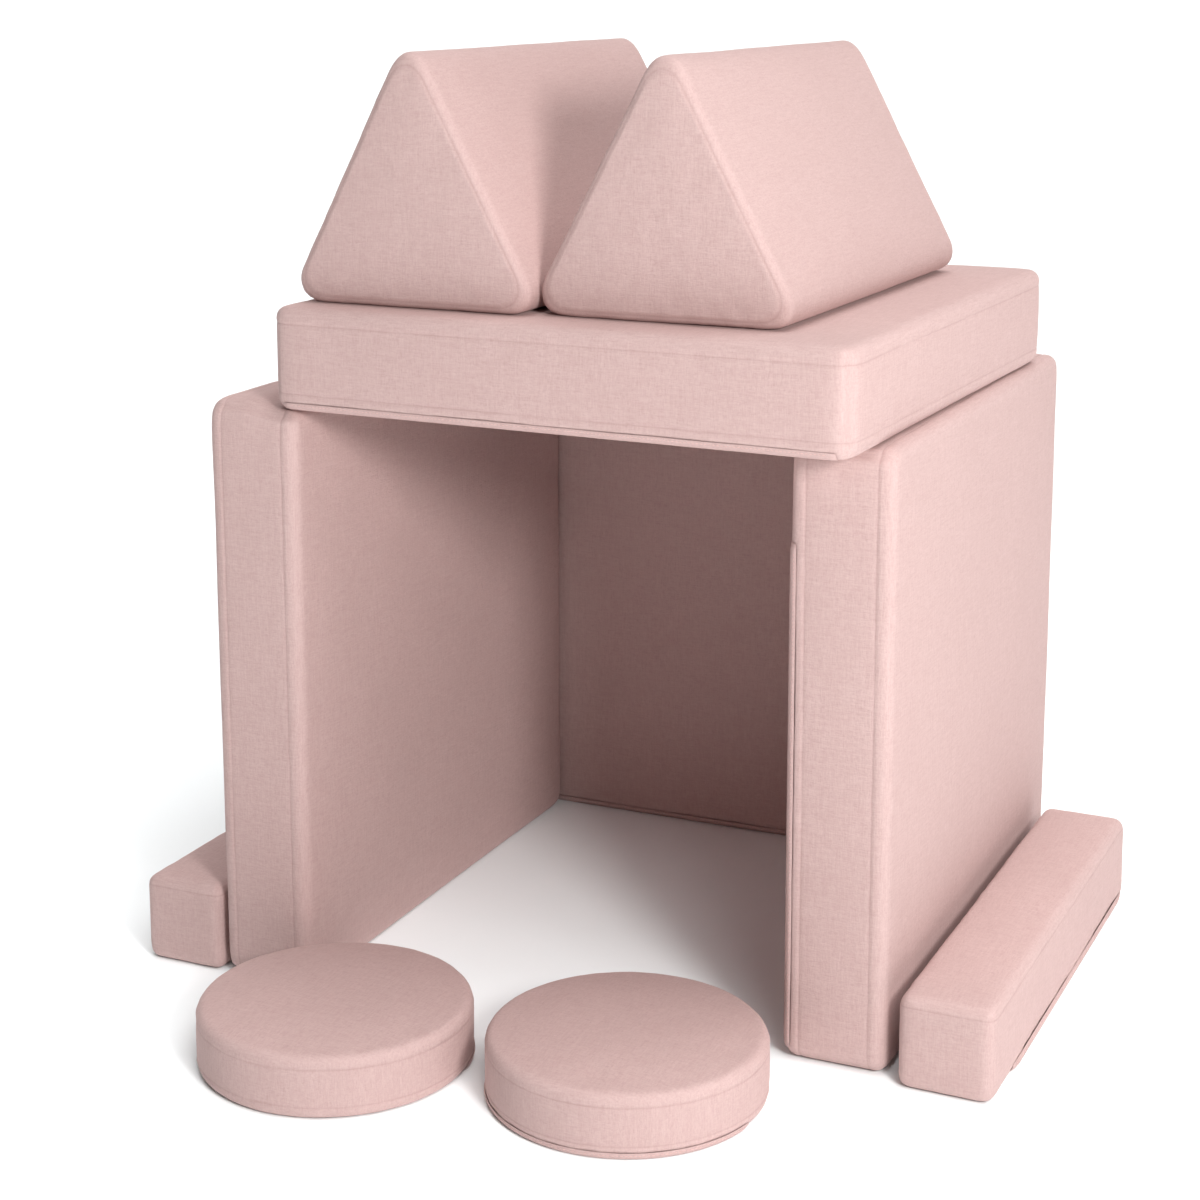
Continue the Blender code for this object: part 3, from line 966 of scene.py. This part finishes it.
def face_shares(cushion, form):
    """How much each point belongs to each of the cushion's faces, by the way it faces."""
    looks = {direction: direction for direction in (UP, DOWN, NEAR, FAR, LEFT, RIGHT)}
    if cushion.kind == "prism":
        _, base, height = size_of(cushion)
        del looks[UP]
        looks[NEAR] = Vector((0, -height, base / 2)).normalized()
        looks[FAR] = Vector((0, height, base / 2)).normalized()
    weights = {}
    for direction, look in looks.items():
        along = form.normals @ np.array(look, dtype=float)
        weights[direction] = np.clip(along, 0, 1) ** FACE_SHARPNESS
    total = sum(weights.values()) + TINY
    return {direction: weight / total for direction, weight in weights.items()}


def swollen(cushion, form):
    """How far each point stands out of the plain form, face by face."""
    filling = np.clip(filling_of(cushion, form), 0, None)
    out = np.zeros(len(form.points))
    for direction, share in face_shares(cushion, form).items():
        inside = share > INSIDE_FACE
        if not inside.any():
            continue
        most = np.percentile(filling[inside], FULLEST) + TINY
        out += share * np.minimum(filling / most, 1.0) * cushion.swells.get(direction, 0.0)
    return out


def near_seam(cushion, points):
    """1 on a seam, fading to 0 within about 2 cm of it."""
    half = size_of(cushion) / 2
    if cushion.kind == "prism":
        return np.exp(-(((half[0] - np.abs(points[:, 0])) / PRISM_PUCKER_REACH) ** 2))
    level = half[cushion.thin] - getattr(settings("sewing"), f"{cushion.kind}_seam")
    return np.exp(-(((np.abs(points[:, cushion.thin]) - level) / PUCKER_REACH) ** 2))


def wander(points, scale, seed):
    """Smooth noise from about -1 to 1 at each point."""
    shift = Vector((seed, seed * 1.7, -seed * 0.6))
    return np.array([noise.noise(Vector(point) * scale + shift) for point in points.tolist()])


def crease_in(points, normals, cushion):
    """Puckers along the seams and the slow unevenness of foam."""
    sewing = settings("sewing")
    ripple = wander(points, PUCKERS_PER_METRE, cushion.seed)
    slow = wander(points, WAVES_PER_METRE, cushion.seed + 3.0)
    move = near_seam(cushion, points) * ripple * sewing.pucker + slow * sewing.waviness
    return points + normals * move[:, None]


def eased(values, start, end):
    """From 0 at start to 1 at end, without corners."""
    share = np.clip((values - start) / (end - start), 0, 1)
    return share * share * (3 - 2 * share)


def press_in(name, world):
    """Keeps a cushion's points out of what it rests on or leans against, in the row's frame."""
    x, y, z = world.T
    z[:] = np.maximum(z, TOUCHING)
    roof_low, roof_high = (corner[2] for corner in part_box("roof_cover"))
    back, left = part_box("back_wall_core"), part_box("left_wall_core")
    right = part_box("right_wall_core")
    if name == "left_wall":
        up = eased(z, roof_low - FREE_TOP_BAND, roof_low)
        free = eased(x, FREE_TOP_START, FREE_TOP_END) * up
        z[:] = np.minimum(z, roof_low - TOUCHING / 2) + FREE_TOP_RISE * free
        y[:] = np.minimum(y, back[0][1] - LEFT_OFF_BACK)
    if name == "right_wall":
        beside = y > back[0][1] - PRESSED_BESIDE_BACK
        z[:] = np.minimum(z, roof_low - TOUCHING / 2)
        x[beside] = np.maximum(x[beside], back[1][0] + RIGHT_OFF_BACK)
    if name == "back_wall":
        behind_left = x < left[1][0] + PRESSED_BEHIND_LEFT
        leaning = behind_left & (y < back[0][1] + PRESSED_DEPTH)
        y[leaning] = np.maximum(y[leaning], left[1][1] + BACK_OFF_LEFT + LEANING)
        x[:] = np.minimum(x, right[0][0] - BACK_OFF_RIGHT - LEANING)
    if name == "roof":
        z[:] = np.clip(z, roof_low + TOUCHING / 2, roof_high - TOUCHING / 2)
    if name.endswith("_prism"):
        z[:] = np.maximum(z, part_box(f"{name}_cover")[0][2] + TOUCHING / 2)
    return world


def make_cover(cushion, material):
    """One cushion's cover, sewn and filled, at its place."""
    form = plain_form(cushion)
    out = swollen(cushion, form) - form.seam * settings("sewing").seam_depth
    name = f"{cushion.name}_cushion"
    obj = linked(name, new_mesh(name, form.points + form.normals * out[:, None], form.faces))
    # Notes where the seams lie, for the painted shade along them in the finish
    mark(obj.data, "sewn", form.seam)
    smooth_finer(obj)
    mesh = obj.data
    mesh.update()
    points = sink_zip(cushion, crease_in(points_of(mesh), normals_of(mesh), cushion))
    place = place_of(cushion)
    turn, shift = np.array(place.to_3x3()), np.array(place.translation)
    world = press_in(cushion.name, points @ turn.T + shift)
    mesh.vertices.foreach_set("co", ((world - shift) @ turn).ravel())
    mesh.shade_smooth()
    mesh.update()
    # Notes the rounded edges, for their wear and painted highlight in the finish
    mark_wear_and_highlight(mesh)
    mesh.materials.append(material)
    obj.matrix_world = place
    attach(obj, cushion.name)
    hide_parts(f"{cushion.name}_cover")


def make_foam(cushion, material):
    """The foam inside the cover, clear of the cover's rounded corners and of the zip's slot."""
    form = plain_form(cushion)
    name = f"{cushion.name}_foam"
    obj = linked(name, new_mesh(name, form.points - form.normals * FOAM_INSET, form.faces))
    obj.data.shade_smooth()
    obj.data.materials.append(material)
    obj.matrix_world = place_of(cushion)
    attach(obj, cushion.name)
    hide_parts(f"{cushion.name}_core")


def make_covers(kind):
    for cushion in CUSHIONS:
        if cushion.kind == kind:
            make_cover(cushion, linen(f"linen_{cushion.name}", cushion.seed))


# Zips

# The slot that the zip lies in
SLOT_HALF_WIDTH = 0.0037
SLOT_DEPTH = 0.0042
SLOT_SEARCH = 0.004
SLOT_END_ROOM = 0.002
DISC_RUN = 17 * 2 * math.pi / 40

# The flap: how far it reaches past the slot, its section, its ends and how it drifts off its line
FLAP_OVERLENGTH = 0.011
FLAP_THICKNESS = 0.0013
FLAP_EDGE = 0.55
FLAP_CLEARANCE = 0.0003
FLAP_STEP = 0.008
FLAP_ACROSS = 8
FLAP_DOME = 0.5
FLAP_END_TAPER = 0.012
FLAP_END_WIDTH = 0.75
FLAP_END_START = 0.0015
FLAP_DRIFT = 0.0004
FLAP_DRIFTS = 18
FLAP_SEED = 50.0
FOLD_OUT = 0.35
FOLD_UP = 0.28
LIP_DOME = 0.9
LIP_END_TAPER = 0.025

# The stitches along the flap. A stitch has sections: how far along it, and how thick there
STITCH_PITCH = 0.0050
STITCH_LENGTH = 0.0034
STITCH_RADIUS = 0.00038
STITCH_SAG = 0.0006
STITCH_FROM_EDGE = 0.0021
STITCH_SIDES = 6
STITCH_SECTIONS = ((-0.5, 0.35), (-0.38, 1.0), (0.38, 1.0), (0.5, 0.35))


def zip_corner(cushion):
    """The rounded corner with the zip, in the section across it: its two ends and its tip."""
    sizes = settings("sizes")
    size = size_of(cushion)
    radius = {"prism": sizes.prism_edge_radius, "disc": sizes.disc_edge_radius}.get(
        cushion.kind, sizes.edge_radius
    )
    tip = Vector((-size.y / 2, -size.z / 2))
    along_bottom = Vector((1, 0))
    up_side = Vector((0, 1))
    if cushion.kind == "prism":
        up_side = Vector((size.y / 2, size.z)).normalized()
    reach = radius / math.tan(along_bottom.angle(up_side) / 2)
    return tip + up_side * reach, tip, tip + along_bottom * reach


def across_corner(cushion, across, height):
    """A point of the section: this far across the corner's middle, and this high over the cover."""
    side, tip, bottom = zip_corner(cushion)
    first, second = tip - side, bottom - tip
    middle = math.pi / 4
    speed = (first * math.cos(middle) + second * math.sin(middle)).length
    turned = middle + across / speed
    point = side + first * math.sin(turned) + second * (1 - math.cos(turned))
    tangent = (first * math.cos(turned) + second * math.sin(turned)).normalized()
    return point + Vector((tangent.y, -tangent.x)) * height


def zip_run(cushion):
    """Where the zip's slot starts and ends along its edge, in metres along a disc's rim too."""
    half = size_of(cushion).x / 2
    if cushion.kind == "disc":
        return -DISC_RUN / 2 * half, DISC_RUN / 2 * half
    return tuple(half * share for share in cushion.run)


def zip_point(cushion, along, across, height):
    """A point over the zip's edge, in the cushion's own frame."""
    section = across_corner(cushion, across, height)
    if cushion.kind != "disc":
        return Vector((along, section.x, section.y))
    angle = along / (size_of(cushion).x / 2) - math.pi / 2
    return Vector((-section.x * math.cos(angle), -section.x * math.sin(angle), section.y))


def sink_zip(cushion, points):
    """Presses the slot of the zip into the cover, deep enough for its tape and slider."""
    floor = across_corner(cushion, 0.0, -SLOT_DEPTH)
    top = across_corner(cushion, 0.0, 0.0)
    out = (top - floor).normalized()
    if cushion.kind == "disc":
        radius = size_of(cushion).x / 2
        radial = np.hypot(points[:, 0], points[:, 1])
        section = np.stack((-radial, points[:, 2]), axis=1)
        along = (np.arctan2(points[:, 1], points[:, 0]) + math.pi / 2) * radius
        along = np.where(along > math.pi * radius, along - 2 * math.pi * radius, along)
    else:
        section = points[:, 1:3]
        along = points[:, 0]
    start, end = zip_run(cushion)
    from_top = section - np.array(top)
    depth = from_top @ np.array(out)
    across = from_top @ np.array((out.y, -out.x))
    held = (np.abs(across) < SLOT_HALF_WIDTH) & (depth > -SLOT_SEARCH)
    held &= (along > start - SLOT_END_ROOM) & (along < end + SLOT_END_ROOM)
    sunk = section - np.outer(np.where(held, depth + SLOT_DEPTH, 0.0), np.array(out))
    if cushion.kind == "disc":
        scale = -sunk[:, 0] / np.maximum(radial, TINY)
        return np.stack((points[:, 0] * scale, points[:, 1] * scale, sunk[:, 1]), axis=1)
    return np.column_stack((points[:, 0], sunk))


def flap_reach(cushion):
    """Half the flap's width, and how far it stands out."""
    sewing = settings("sewing")
    if cushion.gapes:
        return sewing.lip_half_width, sewing.lip_rise
    return sewing.flap_half_width, sewing.flap_rise


def flap_heights(cushion, across):
    """The heights of the flap's inner and outer side over the cover."""
    half, rise = flap_reach(cushion)
    dome = max(0.0, 1 - (across / half) ** 2) ** (LIP_DOME if cushion.gapes else FLAP_DOME)
    low = FLAP_CLEARANCE + (rise - FLAP_THICKNESS - FLAP_CLEARANCE) * dome
    return low, low + FLAP_THICKNESS * (FLAP_EDGE + (1 - FLAP_EDGE) * dome)


def flap_section(cushion):
    """The flap's section: (across, height) round its outer and its inner side."""
    half, _ = flap_reach(cushion)
    outer, inner = [], []
    for index in range(FLAP_ACROSS + 1):
        across = -half + 2 * half * index / FLAP_ACROSS
        low, high = flap_heights(cushion, across)
        outer.append((across, high))
        inner.append((across, low))
    out, up = half + FLAP_THICKNESS * FOLD_OUT, FLAP_CLEARANCE + FLAP_THICKNESS * FOLD_UP
    return [(-out, up), *outer, (out, up), *reversed(inner)]


def kept_up(cushion, point):
    """The point, no lower than the cushion's own underside when that rests on something."""
    lowest = -size_of(cushion).z / 2 + TOUCHING
    return Vector((point.x, point.y, max(point.z, lowest))) if cushion.rests else point


def skin(bm, rings):
    """Faces between rings of points that follow each other, and over both ends."""
    for ring, following in pairwise(rings):
        for index in range(len(ring)):
            after = (index + 1) % len(ring)
            bm.faces.new((ring[index], ring[after], following[after], following[index]))
    bm.faces.new(rings[0])
    bm.faces.new(reversed(rings[-1]))


def make_piece(bm, cushion, kind, material):
    """The mesh as a piece that rides on its cushion."""
    bmesh.ops.recalc_face_normals(bm, faces=bm.faces)
    mesh = bpy.data.meshes.new(f"{cushion.name}_{kind}_piece")
    bm.to_mesh(mesh)
    bm.free()
    mesh.shade_smooth()
    mesh.materials.append(material)
    obj = linked(mesh.name, mesh)
    obj.matrix_world = place_of(cushion)
    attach(obj, cushion.name)
    return obj


def make_flap(cushion, material):
    """The folded strip that is sewn over the zip."""
    start, end = zip_run(cushion)
    start, end = start - FLAP_OVERLENGTH, end + FLAP_OVERLENGTH
    taper = LIP_END_TAPER if cushion.gapes else FLAP_END_TAPER
    count = round((end - start) / FLAP_STEP)
    bm = bmesh.new()
    rings = []
    for index in range(count + 1):
        along = start + (end - start) * index / count
        from_end = min(along - start, end - along)
        share = math.sqrt(min(1.0, (from_end + FLAP_END_START) / taper))
        width = FLAP_END_WIDTH + (1 - FLAP_END_WIDTH) * share
        drift = noise.noise(Vector((along * FLAP_DRIFTS, cushion.seed, 0))) * FLAP_DRIFT
        ring = []
        for across, height in flap_section(cushion):
            point = zip_point(cushion, along, across * width + drift, height * share)
            ring.append(bm.verts.new(kept_up(cushion, point)))
        rings.append(ring)
    skin(bm, rings)
    flap = make_piece(bm, cushion, "flap", material)
    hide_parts(f"{cushion.name}_flap")


def make_stitches(cushion, material):
    """The row of stitches that holds the flap down."""
    start, end = zip_run(cushion)
    across = -flap_reach(cushion)[0] + STITCH_FROM_EDGE
    _, height = flap_heights(cushion, across)
    turns = [2 * math.pi * side / STITCH_SIDES for side in range(STITCH_SIDES)]
    bm = bmesh.new()
    for index in range(int((end - start) / STITCH_PITCH)):
        middle = start + (index + 0.5) * STITCH_PITCH
        rings = []
        for share, size in STITCH_SECTIONS:
            along = middle + share * STITCH_LENGTH
            radius = STITCH_RADIUS * size
            ring = []
            for turn in turns:
                sideways = across + radius * math.cos(turn)
                lift = height + radius * math.sin(turn) - abs(share) * STITCH_SAG
                ring.append(bm.verts.new(zip_point(cushion, along, sideways, lift)))
            rings.append(ring)
        skin(bm, rings)
    make_piece(bm, cushion, "stitches", material)


# Operators


class PLAY_SOFA_OT_make_panels(bpy.types.Operator):
    """Make the three walls and the roof, all square panels"""

    bl_idname = MAKE + "panels"
    bl_label = "Panels"

    def execute(self, context):
        make_covers("panel")
        return {"FINISHED"}


class PLAY_SOFA_OT_make_prisms(bpy.types.Operator):
    """Make the two triangular prisms"""

    bl_idname = MAKE + "prisms"
    bl_label = "Prisms"

    def execute(self, context):
        make_covers("prism")
        return {"FINISHED"}


class PLAY_SOFA_OT_make_bars(bpy.types.Operator):
    """Make the two long bars"""

    bl_idname = MAKE + "bars"
    bl_label = "Bars"

    def execute(self, context):
        make_covers("bar")
        return {"FINISHED"}


class PLAY_SOFA_OT_make_discs(bpy.types.Operator):
    """Make the two round cushions"""

    bl_idname = MAKE + "discs"
    bl_label = "Round cushions"

    def execute(self, context):
        make_covers("disc")
        return {"FINISHED"}


class PLAY_SOFA_OT_make_inner_parts(bpy.types.Operator):
    """Make the foam, the flaps and their stitches, and finish the zip tapes and the sliders"""

    bl_idname = MAKE + "inner_parts"
    bl_label = "Foam and zips"

    def execute(self, context):
        finishes = {"zip": ribbed_tape("zip_tape"), "slider": lacquer("slider_lacquer")}
        for name, node in frame["nodes"].items():
            for kind, material in finishes.items():
                if name.endswith(f"_{kind}"):
                    node.data.materials.clear()
                    node.data.materials.append(material)
        foam = cut_foam("cut_foam")
        flap_linen = linen("linen_flap", FLAP_SEED)
        sewing_thread = thread("sewing_thread")
        for cushion in CUSHIONS:
            make_foam(cushion, foam)
            make_flap(cushion, flap_linen)
            make_stitches(cushion, sewing_thread)
        return {"FINISHED"}


# Stage

# The camera, with angles in degrees and its lens and middle in pixels of the picture
CAMERA_PLACE = (1.1838, -2.6612, 1.2780)
CAMERA_LEFT = 24.6405
CAMERA_DOWN = 10.9822
CAMERA_ROLL = -0.1370
LENS_IN_PIXELS = 2336.55
PRINCIPAL = (600.40, 419.99)
PICTURE = 1200.0
SENSOR = 36.0

FLOOR_SIZE = 400.0
FLOOR_STEPS = 8
FLOOR_GRAIN = 3.0

# The key light, and the ways to the wide lights with how wide they look in degrees
KEY_PLACE = (2.3, -2.2, 1.70)
KEY_TARGET = (0.0, 0.0, 0.45)
KEY_SIZE = 0.7
KEY_COLOUR = (1.0, 0.99, 0.98)
CEILING_TOWARDS = (0.25, 0.1, 0.96)
CEILING_ANGLE = 60.0
REAR_TOWARDS = (-0.5, 0.75, 0.43)
REAR_ANGLE = 60.0
FLOOR_TOWARDS = (0.52, -0.50, 0.69)
FLOOR_ANGLE = 30.0


def make_camera():
    data = bpy.data.cameras.new("camera")
    data.sensor_width = SENSOR
    data.lens = SENSOR * LENS_IN_PIXELS / PICTURE
    data.shift_x = 0.5 - PRINCIPAL[0] / PICTURE
    data.shift_y = PRINCIPAL[1] / PICTURE - 0.5
    turn = (
        Matrix.Rotation(math.radians(CAMERA_LEFT), 4, "Z")
        @ Matrix.Rotation(math.radians(90 - CAMERA_DOWN), 4, "X")
        @ Matrix.Rotation(math.radians(CAMERA_ROLL), 4, "Z")
    )
    camera = linked("camera", data)
    camera.matrix_world = Matrix.Translation(CAMERA_PLACE) @ turn
    bpy.context.scene.camera = camera


def make_floor():
    """A wide floor that fades evenly, without a horizon in the picture."""
    finish = Finish("floor")
    grain = finish.noise(finish.place(), scale=FLOOR_GRAIN)
    pale = settings("studio").floor
    finish.set(Base_Color=finish.mix(grain, tint(pale), tint(pale, 0.985)), Roughness=0.75)
    bm = bmesh.new()
    bmesh.ops.create_grid(bm, x_segments=FLOOR_STEPS, y_segments=FLOOR_STEPS, size=FLOOR_SIZE)
    mesh = bpy.data.meshes.new("floor")
    bm.to_mesh(mesh)
    bm.free()
    mesh.materials.append(finish.material)
    floor = linked("floor", mesh)
    return floor


def facing_from(towards):
    """The turn of a light that shines from this side."""
    return Vector(towards).to_track_quat("Z", "Y").to_matrix().to_4x4()


def make_key_light(power):
    """The large soft light near the sofa's right front corner."""
    light = bpy.data.lights.new("key", "AREA")
    light.shape = "DISK"
    light.size = KEY_SIZE
    light.energy = power
    light.color = KEY_COLOUR
    away = Vector(KEY_PLACE) - Vector(KEY_TARGET)
    linked("key", light).matrix_world = Matrix.Translation(KEY_PLACE) @ facing_from(away)


def make_wide_light(name, towards, energy, angle):
    """Even light from one side of the room, with very soft shadows."""
    light = bpy.data.lights.new(name, "SUN")
    light.energy = energy
    light.angle = math.radians(angle)
    obj = linked(name, light)
    obj.matrix_world = facing_from(towards)
    return obj


def make_world(energy):
    world = bpy.data.worlds.new("studio")
    world.use_nodes = True
    background = world.node_tree.nodes["Background"]
    background.inputs["Color"].default_value = (1.0, 1.0, 1.0, 1.0)
    background.inputs["Strength"].default_value = energy
    bpy.context.scene.world = world


class PLAY_SOFA_OT_make_stage(bpy.types.Operator):
    """Make the floor, the lights and the camera"""

    bl_idname = MAKE + "stage"
    bl_label = "Stage"

    def execute(self, context):
        studio = settings("studio")
        floor = make_floor()
        make_camera()
        make_world(studio.fill_strength)
        make_key_light(studio.key_power)
        make_wide_light("ceiling_light", CEILING_TOWARDS, studio.ceiling_strength, CEILING_ANGLE)
        make_wide_light("rear_light", REAR_TOWARDS, studio.rear_strength, REAR_ANGLE)
        floor_light = make_wide_light(
            "floor_light", FLOOR_TOWARDS, studio.floor_strength, FLOOR_ANGLE
        )
        floor_only = bpy.data.collections.new("floor_only")
        floor_only.objects.link(floor)
        floor_light.light_linking.receiver_collection = floor_only
        bpy.context.scene.view_settings.view_transform = "Standard"
        return {"FINISHED"}


# Panel and registration

OPERATORS = (
    PLAY_SOFA_OT_make_stage,
    PLAY_SOFA_OT_make_panels,
    PLAY_SOFA_OT_make_prisms,
    PLAY_SOFA_OT_make_bars,
    PLAY_SOFA_OT_make_discs,
    PLAY_SOFA_OT_make_inner_parts,
)


class PLAY_SOFA_PT_panel(bpy.types.Panel):
    """The play sofa's pieces and their settings"""

    bl_idname = "PLAY_SOFA_PT_panel"
    bl_label = "Play Sofa"
    bl_space_type = "VIEW_3D"
    bl_region_type = "UI"
    bl_category = "Play Sofa"

    def draw(self, context):
        for operator in OPERATORS:
            self.layout.operator(operator.bl_idname)
        for name, group in GROUPS.items():
            box = self.layout.box()
            box.label(text=group.__doc__)
            for prop in group.__annotations__:
                box.prop(settings(name), prop)


def register():
    for name, group in GROUPS.items():
        bpy.utils.register_class(group)
        setattr(bpy.types.Scene, f"play_sofa_{name}", bpy.props.PointerProperty(type=group))
    for shown in (*OPERATORS, PLAY_SOFA_PT_panel):
        bpy.utils.register_class(shown)


def unregister():
    for shown in (PLAY_SOFA_PT_panel, *reversed(OPERATORS)):
        bpy.utils.unregister_class(shown)
    for name, group in GROUPS.items():
        delattr(bpy.types.Scene, f"play_sofa_{name}")
        bpy.utils.unregister_class(group)


def main():
    register()
    bpy.ops.play_sofa.make_stage()
    bpy.ops.play_sofa.make_panels()
    bpy.ops.play_sofa.make_prisms()
    bpy.ops.play_sofa.make_bars()
    bpy.ops.play_sofa.make_discs()
    bpy.ops.play_sofa.make_inner_parts()


if __name__ == "__main__":
    main()
